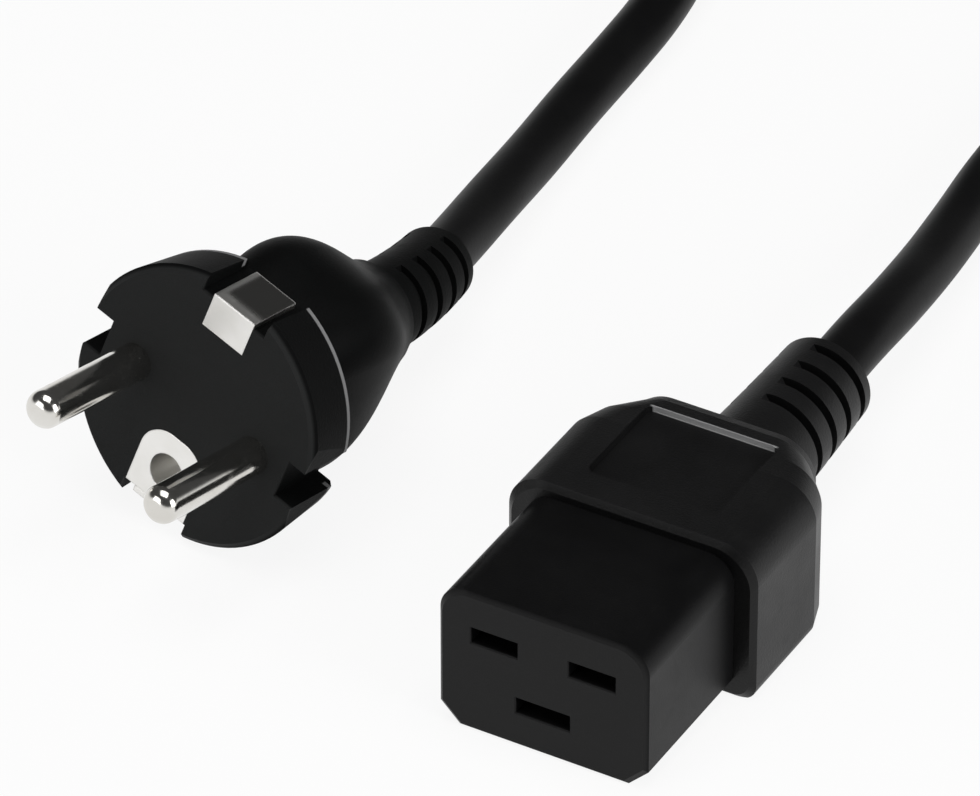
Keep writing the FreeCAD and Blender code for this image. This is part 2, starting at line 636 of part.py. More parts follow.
def main():
    os.makedirs("parts", exist_ok=True)
    nodes, connector_exit = connector()
    plug_nodes, plug_exit = plug()
    turn = Rotation(Vector(0, 0, 1), PLUG_HEADING)
    turn = turn.multiply(Rotation(Vector(1, 0, 0), PLUG_PITCH))
    turn = turn.multiply(Rotation(Vector(0, 1, 0), PLUG_ROLL))
    plug_place = Placement(Vector(PLUG_X, PLUG_Y, PLUG_Z), turn)
    for name, shape in plug_nodes.items():
        nodes[name] = shape.copy()
        nodes[name].Placement = plug_place.multiply(shape.Placement)
    nodes["cord_connector_run"], first = run(connector_exit, CONNECTOR_ROUTE)
    nodes["cord_plug_run"], second = run(plug_place.multiply(plug_exit), PLUG_ROUTE)
    nodes["cord_coil"] = coil()
    nodes["cord_coil_tie"] = coil_tie()
    for name, shape in nodes.items():
        b = shape.BoundBox
        print("%-22s %d solid valid %s  x %.2f %.2f  y %.2f %.2f  z %.2f %.2f  v %.1f" % (
            name, len(shape.Solids), shape.isValid(), b.XMin, b.XMax, b.YMin, b.YMax, b.ZMin, b.ZMax,
            shape.Volume))
        shape.exportStep("parts/%s.step" % name)
    print("connector exit", connector_exit.Base, "plug exit", plug_place.multiply(plug_exit).Base)


main()
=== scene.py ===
# %% [markdown]
# # A C19 appliance lead
# A heavy three-core mains lead: a C19 connector at one end, an earthed two-pin plug at the other
# and 1.8 m of round flexible cord between them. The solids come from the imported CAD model,
# which is loaded here and never moved. This file adds what the solids leave out: the cord as one
# supple line, the finish of every material, and the small relief that catches the light.

import math

import bpy
import numpy as np
from mathutils import Matrix, Vector


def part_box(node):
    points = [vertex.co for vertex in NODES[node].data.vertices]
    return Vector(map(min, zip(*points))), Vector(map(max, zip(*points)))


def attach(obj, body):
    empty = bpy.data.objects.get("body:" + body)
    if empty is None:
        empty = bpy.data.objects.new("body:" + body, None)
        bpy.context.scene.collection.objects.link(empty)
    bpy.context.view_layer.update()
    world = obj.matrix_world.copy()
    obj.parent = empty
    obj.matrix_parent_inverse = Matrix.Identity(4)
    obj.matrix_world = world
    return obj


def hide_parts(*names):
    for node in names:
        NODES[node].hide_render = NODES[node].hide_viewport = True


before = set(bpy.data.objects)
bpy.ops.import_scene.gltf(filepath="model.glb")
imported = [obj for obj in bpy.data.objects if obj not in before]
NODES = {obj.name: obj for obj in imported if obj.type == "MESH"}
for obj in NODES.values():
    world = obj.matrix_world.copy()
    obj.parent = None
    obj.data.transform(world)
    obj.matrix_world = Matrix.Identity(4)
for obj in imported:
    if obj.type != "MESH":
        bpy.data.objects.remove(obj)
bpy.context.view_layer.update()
MM = 0.001

# %% [markdown]
# ## The camera
# A long lens far away flattens perspective, so both ends of the lead keep their true proportions.
# It could be aimed by hand with a Track To constraint; here the place and the three axes of the
# camera are written out, so that nothing shifts when a piece is added.

# %% Camera
scene = bpy.context.scene
scene.view_settings.view_transform = "Standard"
CAMERA_AT = Vector((403.09, -751.62, 652.99)) * MM
CAMERA_HEADING = math.radians(29.8)
CAMERA_DIP = math.radians(36.2)
SENSOR_MM = 36.0
LENS_MM = 330.6
CLIP_NEAR = 0.05
CLIP_FAR = 20.0

right = Vector((math.cos(CAMERA_HEADING), math.sin(CAMERA_HEADING), 0))
level = Vector((-math.sin(CAMERA_HEADING), math.cos(CAMERA_HEADING), 0))
forward = level * math.cos(CAMERA_DIP) - Vector((0, 0, math.sin(CAMERA_DIP)))
up = right.cross(forward)
camera_data = bpy.data.cameras.new("camera")
camera_data.sensor_width = SENSOR_MM
camera_data.lens = LENS_MM
camera_data.clip_start = CLIP_NEAR
camera_data.clip_end = CLIP_FAR
camera = bpy.data.objects.new("camera", camera_data)
scene.collection.objects.link(camera)
axes = Matrix((right, up, -forward)).transposed()
camera.matrix_world = Matrix.Translation(CAMERA_AT) @ axes.to_4x4()
scene.camera = camera
print("camera looks along", [round(v, 3) for v in forward])

# %% [markdown]
# ## The cord
# A sheath of soft PVC round three twisted cores. It leaves the connector, runs off to the rear, is
# wound into a neat coil two rows high and three columns wide, and comes back to the plug. It
# could be swept in the CAD model, but only runs and arcs pass there, and they look like bent wire.
# One NURBS spline has no kinks at all. Its control points are the CAD route's points, and the
# turns of the coil are more points of the same spline.

# %% Route of the cord
CORD_D = 7.4 * MM
LEAD_RUN = 8.8 * MM  # straight start out of each strain relief
CONNECTOR_EXIT = Vector((-0.4451, 35.4032, 9.4389)) * MM
CONNECTOR_AHEAD = Vector((-0.034767, 0.999391, 0.003042))
PLUG_EXIT = Vector((-54.0083, 33.2664, 9.0049)) * MM
PLUG_AHEAD = Vector((-0.1652, 0.9689, -0.1838))
CONNECTOR_ROUTE = (
    (-1.4, 55.5, 8.2), (-3.0, 67.0, 5.8), (-4.7, 78.0, 4.5), (-6.1, 89.0, 3.9),
    (-6.7, 100.5, 3.9), (-5.1, 112.5, 4.0), (-0.3, 124.5, 4.3), (7.0, 136.5, 4.8),
    (11.8, 148.5, 5.1), (13.4, 160.5, 5.2), (13.4, 168.0, 5.2),
)
PLUG_ROUTE = (
    (-57.1, 54.5, 5.7), (-58.6, 66.5, 4.4), (-59.7, 78.5, 3.9), (-60.4, 90.5, 3.9),
    (-61.0, 102.5, 3.9), (-63.0, 114.1, 4.6), (-68.8, 125.7, 6.7), (-77.6, 137.3, 9.8),
    (-83.4, 148.9, 11.9), (-85.4, 160.5, 12.6), (-85.4, 168.0, 12.6),
)
print("route points", len(CONNECTOR_ROUTE) + len(PLUG_ROUTE))

# %% [markdown]
# ### Winding the coil
# The connector's end comes in at the bottom of the outer column and is wound inwards. The third
# turn climbs to the upper row, which is wound outwards, and the cord leaves towards the plug. The
# turns could be placed by hand, point by point; a circle that changes column or row in an easy
# slope over a third of a turn keeps every turn one cord away from its neighbours.

# %% Coil turns
COIL_AT = Vector((-36.0, 195.5, 0.0)) * MM
COIL_R = 42.0 * MM  # middle column
LOWER_ROW_Z = 5.2 * MM
COIL_TURNS = 5.5
POINTS_PER_TURN = 16
SLOPE = math.radians(120)
TO_SECOND = math.radians(230)
TO_THIRD = TO_SECOND + math.tau
CLIMB = TO_THIRD + math.tau
BACK_TO_SECOND = CLIMB + math.radians(300)
BACK_TO_FIRST = BACK_TO_SECOND + math.tau


def eased(angle, start):
    """0 before start, 1 a slope later, and 3t^2 - 2t^3 between."""
    t = np.clip((angle - start) / SLOPE, 0, 1)
    return t * t * (3 - 2 * t)


def coil_points():
    """Control points of the turns: a circle whose radius loses one cord for each column inwards.

    While the third turn climbs, it swings a quarter circle of one cord's radius round its neighbour,
    so the two touch and never meet. A quadratic spline runs inside its control points by the cosine
    of half their step, and the radius is divided by that.
    """
    step = math.tau / POINTS_PER_TURN
    angle = np.arange(1, round(COIL_TURNS * POINTS_PER_TURN)) * step
    column = eased(angle, TO_SECOND) + eased(angle, TO_THIRD)
    column -= eased(angle, BACK_TO_SECOND) + eased(angle, BACK_TO_FIRST)
    swing = eased(angle, CLIMB)
    radius = COIL_R + CORD_D * (1 - column)
    height = LOWER_ROW_Z + CORD_D * np.sin(swing * math.pi / 2)
    radius += CORD_D * (1 - np.cos(swing * math.pi / 2) - swing)
    radius /= math.cos(step / 2)
    x = COIL_AT.x + radius * np.cos(angle)
    y = COIL_AT.y + radius * np.sin(angle)
    return np.stack([x, y, height], 1)


turns = coil_points()
print("coil points", len(turns), "lowest", turns.min(0).round(4), "highest", turns.max(0).round(4))

# %% [markdown]
# ### The cord as a line of points
# A curve with a round bevel would be a cord at once, but a real sheath isn't a perfect cylinder.
# So the spline is only read as a line of even steps, and the sheath is carried along it later.

# %% Read the spline
LINE_STEP = 2 * MM
SPLINE_SAMPLES = 12  # points from one control point to the next


def spline_line(points):
    """Even steps along the quadratic NURBS of these control points, and how far along each one is."""
    curve = bpy.data.curves.new("cord_route", "CURVE")
    curve.dimensions = "3D"
    spline = curve.splines.new("NURBS")
    spline.points.add(len(points) - 1)
    flat = np.ones((len(points), 4))
    flat[:, :3] = points
    spline.points.foreach_set("co", flat.ravel())
    spline.order_u = 3
    spline.use_endpoint_u = True
    spline.resolution_u = SPLINE_SAMPLES
    route = bpy.data.objects.new("cord_route", curve)
    mesh = bpy.data.meshes.new_from_object(route)
    dense = np.zeros(len(mesh.vertices) * 3)
    mesh.vertices.foreach_get("co", dense)
    dense = dense.reshape(-1, 3)
    bpy.data.objects.remove(route)
    bpy.data.meshes.remove(mesh)
    travelled = np.append(0, np.cumsum(np.linalg.norm(np.diff(dense, axis=0), axis=1)))
    stops = np.linspace(0, travelled[-1], round(travelled[-1] / LINE_STEP) + 1)
    return np.stack([np.interp(stops, travelled, dense[:, k]) for k in range(3)], 1), stops


connector_start = [CONNECTOR_EXIT, CONNECTOR_EXIT + CONNECTOR_AHEAD * LEAD_RUN]
plug_start = [PLUG_EXIT, PLUG_EXIT + PLUG_AHEAD * LEAD_RUN]
control = np.concatenate([
    np.array(connector_start),
    np.array(CONNECTOR_ROUTE) * MM,
    turns,
    np.array(PLUG_ROUTE[::-1]) * MM,
    np.array(plug_start[::-1]),
])
line, along = spline_line(control)
print("cord", round(float(along[-1]), 3), "m in", len(line), "points")

# %% [markdown]
# ## Surfaces from arrays
# Every new piece is a function of two parameters: where along the piece, and where round it.
# Such a surface could be modelled by hand or swept with a curve's bevel; worked out as one array,
# its points stay even and its size can be read from the code. These helpers turn the array into
# a mesh, hang the mesh on the part's one body and carry a ring along a path.

# %% Mesh and object
def grid_mesh(name, points, closed=False, caps=False):
    """Mesh of quads from a (rows, columns, 3) array of points p(u, v); rows follow u, columns v.

    Faces look along dp/du x dp/dv. Closed joins the last column to the first, and with caps each
    end row is closed by one n-gon.
    """
    rows, columns = points.shape[:2]
    index = np.arange(rows * columns).reshape(rows, columns)
    if closed:
        index = np.hstack([index, index[:, :1]])
    quads = np.stack([index[:-1, :-1], index[1:, :-1], index[1:, 1:], index[:-1, 1:]], -1)
    faces = quads.reshape(-1, 4).tolist()
    if caps:
        ring = np.arange(columns)
        faces.append(ring.tolist())
        faces.append((ring + (rows - 1) * columns)[::-1].tolist())
    mesh = bpy.data.meshes.new(name)
    mesh.from_pydata(points.reshape(-1, 3).tolist(), [], faces)
    mesh.update()
    return mesh


def place(name, mesh, material, smooth=True):
    """Object for a mesh, at the origin, riding on the part's one body."""
    mesh.materials.append(material)
    mesh.polygons.foreach_set("use_smooth", np.full(len(mesh.polygons), smooth))
    piece = bpy.data.objects.new(name, mesh)
    scene.collection.objects.link(piece)
    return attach(piece, "root")


print("mesh helpers ready")


# %% Rings round a path
def tube_rings(path, radius):
    """Rings round a path that never runs upright: side = tangent x up, top = side x tangent.

    A ring point is path + radius(step, angle) * (cos(angle) * side + sin(angle) * top).
    """
    tangent = np.gradient(path, axis=0)
    tangent /= np.linalg.norm(tangent, axis=1, keepdims=True)
    side = np.cross(tangent, (0, 0, 1))
    side /= np.linalg.norm(side, axis=1, keepdims=True)
    top = np.cross(side, tangent)
    turn = np.linspace(0, math.tau, radius.shape[1], endpoint=False)[None, :, None]
    outwards = np.cos(turn) * side[:, None] + np.sin(turn) * top[:, None]
    return path[:, None] + radius[..., None] * outwards


print("ring helper ready")

# %% [markdown]
# ## Shared surface effects
# A spark-eroded mould leaves a fine even texture on every black moulding, and handling leaves
# broad, barely visible patches where the surface is a little shinier or dustier. Both could be
# painted; here each is a node group that reads the object's own coordinates, so it is built once
# and placed in every material with its own values. Short helpers come first, because a tree of
# nodes that is written out link by link is hard to read.

# %% Groups and nodes
def new_group(name, inputs, outputs):
    """Empty shader node group with float inputs, as (name, default), and float outputs, by name."""
    tree = bpy.data.node_groups.new(name, "ShaderNodeTree")
    for label, default in inputs:
        socket = tree.interface.new_socket(label, in_out="INPUT", socket_type="NodeSocketFloat")
        socket.default_value = default
    for label in outputs:
        tree.interface.new_socket(label, in_out="OUTPUT", socket_type="NodeSocketFloat")
    entry = tree.nodes.new("NodeGroupInput")
    leave = tree.nodes.new("NodeGroupOutput")
    return tree, entry, leave


def node(tree, kind, **values):
    """Node of a kind with its properties and input values set; an input is named with in_ before it."""
    made = tree.nodes.new("ShaderNode" + kind)
    for key, value in values.items():
        if key.startswith("in_"):
            made.inputs[key[3:].replace("_", " ")].default_value = value
        else:
            setattr(made, key, value)
    return made


print("group helpers ready")


# %% Nodes that work something out
def math_node(tree, operation, first, second=None, clamp=False):
    """Math node on two sockets or numbers; returns its output."""
    made = node(tree, "Math", operation=operation, use_clamp=clamp)
    for slot, value in zip(made.inputs, (first, second)):
        if hasattr(value, "links"):
            tree.links.new(value, slot)
        elif value is not None:
            slot.default_value = value
    return made.outputs[0]


def range_node(tree, value, low, high, to_low, to_high):
    """Map Range of a socket from low..high to to_low..to_high, clamped; returns its output."""
    made = node(tree, "MapRange", in_From_Min=low, in_From_Max=high, in_To_Min=to_low, in_To_Max=to_high)
    tree.links.new(value, made.inputs["Value"])
    return made.outputs["Result"]


def object_axes(tree):
    """Sockets with a point's x, y and z in metres, in the part's own frame."""
    split = node(tree, "SeparateXYZ")
    tree.links.new(node(tree, "TexCoord").outputs["Object"], split.inputs[0])
    return [split.outputs[axis] for axis in "XYZ"]


print("node helpers ready")

# %% [markdown]
# ### The mould's texture
# Spark erosion pits the steel of a mould all over, and the plastic copies the pits as a silky
# grain. An image of the grain would have to be wrapped round each piece; noise in the object's
# coordinates needs no wrapping, and its grain has the same millimetres on every piece.

# %% Mould texture group
FINER = 2.7  # how many times smaller the cells of the finer noise are


def build_mould_texture():
    """Height of a spark-eroded surface: noise with cells of a given size in mm, plus finer noise."""
    tree, entry, leave = new_group("mould_texture", [("Cell mm", 0.35), ("Fine share", 0.4)], ["Height"])
    where = node(tree, "TexCoord")
    scale = math_node(tree, "DIVIDE", 1 / MM, entry.outputs["Cell mm"])
    coarse = node(tree, "TexNoise", in_Detail=2.0, in_Roughness=0.55)
    fine = node(tree, "TexNoise", in_Detail=1.0)
    tree.links.new(where.outputs["Object"], coarse.inputs["Vector"])
    tree.links.new(where.outputs["Object"], fine.inputs["Vector"])
    tree.links.new(scale, coarse.inputs["Scale"])
    tree.links.new(math_node(tree, "MULTIPLY", scale, FINER), fine.inputs["Scale"])
    share = math_node(tree, "MULTIPLY", fine.outputs["Fac"], entry.outputs["Fine share"])
    tree.links.new(math_node(tree, "ADD", coarse.outputs["Fac"], share), leave.inputs["Height"])
    return tree


MOULD_TEXTURE = build_mould_texture()
print("group", MOULD_TEXTURE.name)

# %% [markdown]
# ### Wear from hands
# Skin polishes a lead in broad patches, and drawers and floors leave small scuffs. Both could be
# painted on each piece; two noises of different size, each cut down to its highest values,
# scatter them over every piece without a seam.

# %% Handling group
def build_handling():
    """Masks of wear from hands and storage: broad patches, and sparse soft scuffs, each from 0 to 1."""
    tree, entry, leave = new_group(
        "handling", [("Patch mm", 14.0), ("Scuff mm", 2.5)], ["Patches", "Scuffs"])
    where = node(tree, "TexCoord")
    wear = (("Patch mm", "Patches", 3.0, 0.35, 0.7), ("Scuff mm", "Scuffs", 5.0, 0.56, 0.72))
    for size, mask, detail, low, high in wear:
        scale = math_node(tree, "DIVIDE", 1 / MM, entry.outputs[size])
        noise = node(tree, "TexNoise", in_Detail=detail, in_Roughness=0.6, in_Distortion=0.4)
        tree.links.new(where.outputs["Object"], noise.inputs["Vector"])
        tree.links.new(scale, noise.inputs["Scale"])
        highest = range_node(tree, noise.outputs["Fac"], low, high, 0.0, 1.0)
        tree.links.new(highest, leave.inputs[mask])
    return tree


HANDLING = build_handling()
print("group", HANDLING.name)

# %% [markdown]
# ### Builders of materials
# All black mouldings are made up in the same way and differ only in their values. A material
# could be copied and changed by hand; a function that builds it says in a few words what differs,
# and its helpers, such as a bump with softened edges, serve the metals and the cloth too.

# %% Material helpers
def new_material(name, **shader_values):
    """Material with one Principled shader whose uniform values are set on its own sockets."""
    material = bpy.data.materials.new(name)
    material.use_nodes = True
    shader = material.node_tree.nodes["Principled BSDF"]
    for label, value in shader_values.items():
        shader.inputs[label.replace("_", " ")].default_value = value
    return material, material.node_tree, shader


def use_group(tree, group, **values):
    """Group placed in a tree with its named values set; an underscore stands for a space."""
    made = tree.nodes.new("ShaderNodeGroup")
    made.node_tree = group
    for label, value in values.items():
        made.inputs[label.replace("_", " ")].default_value = value
    return made


def mix_colours(tree, share, first, second):
    """Mix node between two plain colours by a socket; returns its colour output."""
    made = node(tree, "Mix", data_type="RGBA")
    tree.links.new(share, made.inputs["Factor"])
    made.inputs["A"].default_value = (*first, 1)
    made.inputs["B"].default_value = (*second, 1)
    return made.outputs["Result"]


def bump(tree, shader, height, distance, edge=0.0):
    """Bump of a height over a distance in metres; edges of the solid look rounded by edge metres."""
    made = node(tree, "Bump", in_Distance=distance)
    if edge:
        rounded = node(tree, "Bevel", in_Radius=edge)
        tree.links.new(rounded.outputs["Normal"], made.inputs["Normal"])
    tree.links.new(height, made.inputs["Height"])
    tree.links.new(made.outputs["Normal"], shader.inputs["Normal"])


print("material helpers ready")

# %% Builder of black mouldings
SCUFF_SHARE = 0.5  # how much a scuff wears, set against a patch


def black_moulding(name, colour, dusty, roughness, cell_mm, depth, specular=0.5, ior=1.5):
    """Black plastic or rubber: mould texture in its bump, handling in its colour and roughness.

    Roughness goes from its first value to its second with patches + scuff share * scuffs.
    """
    material, tree, shader = new_material(name, Specular_IOR_Level=specular, IOR=ior)
    texture = use_group(tree, MOULD_TEXTURE, Cell_mm=cell_mm)
    handling = use_group(tree, HANDLING)
    dusted = mix_colours(tree, handling.outputs["Patches"], colour, dusty)
    tree.links.new(dusted, shader.inputs["Base Color"])
    worn = math_node(tree, "MULTIPLY", handling.outputs["Scuffs"], SCUFF_SHARE)
    worn = math_node(tree, "ADD", worn, handling.outputs["Patches"])
    worn = range_node(tree, worn, 0.0, 1 + SCUFF_SHARE, *roughness)
    tree.links.new(worn, shader.inputs["Roughness"])
    bump(tree, shader, texture.outputs["Height"], depth)
    return material


print("a scuff wears", SCUFF_SHARE, "of a patch")

# %% [markdown]
# ## Painted light and marks of wear
# Some colours belong to one place on a solid. The grip's front face was shut off against a
# polished steel insert, so it is smoother than the textured sides; its deeper black is painted
# shade. The step of the thumb panel and the plug's rear rim carry painted highlights in grey.
# Both could be separate pieces with their own material; here a node group makes a band of a
# coordinate, and bands multiplied together pick the place, so that the solid keeps its single skin.

# %% Band group
def build_band():
    """Mask of a value in metres: 1 within Half of Middle, fading to 0 over Soft, all three in mm."""
    tree, entry, leave = new_group(
        "band", [("Value", 0.0), ("Middle mm", 0.0), ("Half mm", 1.0), ("Soft mm", 0.1)], ["Mask"])
    millimetres = math_node(tree, "MULTIPLY", entry.outputs["Value"], 1 / MM)
    away = math_node(tree, "SUBTRACT", millimetres, entry.outputs["Middle mm"])
    away = math_node(tree, "ABSOLUTE", away)
    beyond = math_node(tree, "SUBTRACT", away, entry.outputs["Half mm"])
    faded = math_node(tree, "DIVIDE", beyond, entry.outputs["Soft mm"])
    mask = math_node(tree, "SUBTRACT", 1.0, math_node(tree, "MAXIMUM", faded, 0.0), clamp=True)
    tree.links.new(mask, leave.inputs["Mask"])
    return tree


BAND = build_band()
print("group", BAND.name)


# %% Marks where bands overlap
def overlap(tree, *bands):
    """Product of the masks of bands; each is a socket with a value and its (middle, half, soft) in mm."""
    masks = []
    for value, (middle, half, soft) in bands:
        made = use_group(tree, BAND, Middle_mm=middle, Half_mm=half, Soft_mm=soft)
        tree.links.new(value, made.inputs["Value"])
        masks.append(made.outputs["Mask"])
    product = masks[0]
    for mask in masks[1:]:
        product = math_node(tree, "MULTIPLY", product, mask)
    return product


def mark(material, mask, colour, roughness):
    """Lay a colour and a roughness over what a material already has, as far as the mask says."""
    tree = material.node_tree
    shader = tree.nodes["Principled BSDF"]
    for label, kind, value in (("Base Color", "RGBA", (*colour, 1)), ("Roughness", "FLOAT", roughness)):
        before = shader.inputs[label].links[0].from_socket
        blended = node(tree, "Mix", data_type=kind)
        tree.links.new(mask, blended.inputs["Factor"])
        tree.links.new(before, blended.inputs["A"])
        blended.inputs["B"].default_value = value
        tree.links.new(blended.outputs["Result"], shader.inputs[label])


print("mark helpers ready")

# %% [markdown]
# ## Black plastics
# The connector's grip, its hard contact carrier, the plug and the cord's sheath are four
# different blacks, and the bridge inside the plug is a dark grey. Each could be one flat colour,
# and would look like a cut-out. Real ones are told apart by gloss: the carrier is the smoothest,
# the rubbery plug shows almost no glare at its flanks, and a low index of refraction gives
# exactly that. Texture and handling come from the groups.

# %% Black materials
MOULD_BLACK = black_moulding(
    "mould_black", colour=(0.0033, 0.0033, 0.0035), dusty=(0.0052, 0.0052, 0.0054),
    roughness=(0.40, 0.52), cell_mm=0.3, depth=0.03 * MM, specular=0.24)
CARRIER_BLACK = black_moulding(
    "carrier_black", colour=(0.0036, 0.0036, 0.0038), dusty=(0.0052, 0.0052, 0.0054),
    roughness=(0.34, 0.46), cell_mm=0.22, depth=0.018 * MM, ior=1.2)
PLUG_BLACK = black_moulding(
    "plug_black", colour=(0.004, 0.0042, 0.0042), dusty=(0.0055, 0.0058, 0.0058),
    roughness=(0.42, 0.54), cell_mm=0.3, depth=0.03 * MM, ior=1.08)
SHEATH_BLACK = black_moulding(
    "sheath_black", colour=(0.0045, 0.0045, 0.0047), dusty=(0.0063, 0.0063, 0.0065),
    roughness=(0.36, 0.48), cell_mm=0.5, depth=0.012 * MM, ior=1.16)
BRIDGE_PLASTIC = black_moulding(
    "bridge_plastic", colour=(0.012, 0.0145, 0.0135), dusty=(0.015, 0.0175, 0.0165),
    roughness=(0.4, 0.52), cell_mm=0.3, depth=0.012 * MM, specular=0.24)
blacks = (MOULD_BLACK, CARRIER_BLACK, PLUG_BLACK, SHEATH_BLACK, BRIDGE_PLASTIC)
print("blacks", [material.name for material in blacks])

# %% [markdown]
# ### The carrier's face
# The flat face round the three slots comes off a plain plate of the mould, so it is a little
# drier than the sides; its paler grey is painted light, for the light that falls on the front. It
# could be a thin plate laid on the front; one band of y, taken from the carrier's own box, finds
# the face wherever the CAD model puts it.

# %% Painted light on the face of the contact carrier
CARRIER_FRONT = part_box("c19_contact_carrier")[0][1] / MM
CARRIER_FACE = (CARRIER_FRONT, 0.15, 0.3)
# painted light: a paler grey for the light that falls on the carrier's front face
CARRIER_FACE_LIT_GREY = (0.0115, 0.0115, 0.0117)
CARRIER_FACE_ROUGHNESS = 0.42

carrier_tree = CARRIER_BLACK.node_tree
_, carrier_y, _ = object_axes(carrier_tree)
# the carrier's face gets its painted light
carrier_lit_face = overlap(carrier_tree, (carrier_y, CARRIER_FACE))
mark(CARRIER_BLACK, carrier_lit_face, CARRIER_FACE_LIT_GREY, CARRIER_FACE_ROUGHNESS)
print("carrier's face at", round(CARRIER_FRONT, 2), "mm")

# %% [markdown]
# ### The grip's front and thumb panel
# The front of the grip is smoother and coloured darker: painted shade, for the shade round the
# nose. The step at the rear of its thumb panel is coloured light grey: a painted highlight along
# the rear wall of the panel's recess. Each could be a strip of its own; here the front is one band
# of y, and the step is three bands, one for each axis, set from the grip's own box.

# %% Painted shade on the front of the grip and a painted highlight on the step of its thumb panel
GRIP_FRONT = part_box("c19_overmould")[0][1] / MM
GRIP_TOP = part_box("c19_overmould")[1][2] / MM
GRIP_FACE = (GRIP_FRONT, 0.3, 0.5)
PANEL_STEP_X = (0.0, 8.3, 0.4)
PANEL_STEP_Y = (GRIP_FRONT + 20.402, 0.1, 0.12)
PANEL_STEP_Z = (GRIP_TOP - 0.4, 0.75, 0.1)
# painted shade: the grip's whole front face is coloured a deeper black for the shade round the nose
NOSE_SHADE_BLACK = (0.0015, 0.0015, 0.0016)
POLISHED_ROUGHNESS = 0.36
# painted highlight: the rear wall of the thumb panel's recess is coloured light grey for the highlight
# line along it
PANEL_STEP_HIGHLIGHT_GREY = (0.3, 0.3, 0.302)
HIGHLIGHT_LINE_ROUGHNESS = 0.5

grip_tree = MOULD_BLACK.node_tree
grip_x, grip_y, grip_z = object_axes(grip_tree)
# the front face gets its painted shade and its smoother roughness
mark(MOULD_BLACK, overlap(grip_tree, (grip_y, GRIP_FACE)), NOSE_SHADE_BLACK, POLISHED_ROUGHNESS)
# the step at the rear of the thumb panel gets a painted highlight
panel_step_highlight = overlap(grip_tree, (grip_y, PANEL_STEP_Y), (grip_x, PANEL_STEP_X), (grip_z, PANEL_STEP_Z))
mark(MOULD_BLACK, panel_step_highlight, PANEL_STEP_HIGHLIGHT_GREY, HIGHLIGHT_LINE_ROUGHNESS)
print("grip front at", round(GRIP_FRONT, 2), "mm, panel step at", round(PANEL_STEP_Y[0], 2), "mm")

# %% [markdown]
# ### Places on the plug
# The plug lies tilted on the table, so its face and flange don't follow x, y or z. An empty
# object could carry the plug's own axes, but the exported model loses such a helper. A Mapping
# node of the Texture type undoes the plug's place and its three turns with numbers alone.

# %% Places on the plug
PLUG_AT = Vector((-57.5, -18.6, 18.4)) * MM  # middle of the plug's face
PLUG_TURN = (
    Matrix.Rotation(math.radians(-6.6), 3, "Z")
    @ Matrix.Rotation(math.radians(-10.1), 3, "X")
    @ Matrix.Rotation(math.radians(16.7), 3, "Y"))
ACROSS_PLUG = (1, 0, 1)


def place_on_plug(tree):
    """Sockets with a point's x, y and z in the plug's own frame, y behind its face, and its radius."""
    inverse = node(
        tree, "Mapping", vector_type="TEXTURE", in_Location=PLUG_AT, in_Rotation=PLUG_TURN.to_euler("XYZ"))
    tree.links.new(node(tree, "TexCoord").outputs["Object"], inverse.inputs["Vector"])
    split = node(tree, "SeparateXYZ")
    tree.links.new(inverse.outputs["Vector"], split.inputs[0])
    across = node(tree, "VectorMath", operation="MULTIPLY")
    tree.links.new(inverse.outputs["Vector"], across.inputs[0])
    across.inputs[1].default_value = ACROSS_PLUG
    radius = node(tree, "VectorMath", operation="LENGTH")
    tree.links.new(across.outputs["Vector"], radius.inputs[0])
    return *(split.outputs[axis] for axis in "XYZ"), radius.outputs["Value"]


print("plug turned by", [round(math.degrees(v), 1) for v in PLUG_TURN.to_euler("XYZ")], "degrees")

# %% [markdown]
# ### The plug's face and flange
# The flat face is a little drier than the rest of the plug, and its paler black is painted light,
# for the light that falls on the face. A painted highlight in light grey runs along the rear rim of
# its flange. A thin ring could be laid on the rim; a band of depth behind the face, multiplied by a
# band of radius, draws the same line on the solid itself.

# %% Painted light on the plug's face and a painted highlight on its rear rim
PLUG_FACE = (0.0, 0.3, 0.3)
# painted light: a paler black for the light that falls on the plug's face
PLUG_FACE_LIT_GREY = (0.021, 0.0216, 0.0216)
PLUG_FACE_ROUGHNESS = 0.46
RIM_DEPTH = (7.9, 0.25, 0.12)
RIM_RADIUS = (17.5, 1.2, 0.2)
# painted highlight: a light grey line round the rear rim of the flange
RIM_HIGHLIGHT_GREY = (0.2, 0.2, 0.202)

plug_tree = PLUG_BLACK.node_tree
_, behind_face, _, from_axis = place_on_plug(plug_tree)
# the plug's face gets its painted light
mark(PLUG_BLACK, overlap(plug_tree, (behind_face, PLUG_FACE)), PLUG_FACE_LIT_GREY, PLUG_FACE_ROUGHNESS)
# the rear rim of the flange gets its painted highlight
flange_rim_highlight = overlap(plug_tree, (behind_face, RIM_DEPTH), (from_axis, RIM_RADIUS))
mark(PLUG_BLACK, flange_rim_highlight, RIM_HIGHLIGHT_GREY, HIGHLIGHT_LINE_ROUGHNESS)
print("flange rim at", RIM_DEPTH[0], "mm behind the plug's face")

# %% [markdown]
# ## Metals
# Pins, earth clips and the earth socket's plate are nickel-plated brass. The turned pins are
# nearly mirrors; the stamped clips and plate are barrel-plated and a little satin, and tumbling
# has rounded their edges. Contacts and wires deep inside are bare brass and copper. All could be
# one bright colour, but clean metal of one colour looks like chrome, so one builder dulls each of
# them in patches with the handling group.

# %% Metals
METAL_GRAIN_MM = 0.15
METAL_GRAIN_DEPTH = 0.004 * MM
METAL_PATCH_MM = 6.0
METAL_SCUFF_MM = 1.2


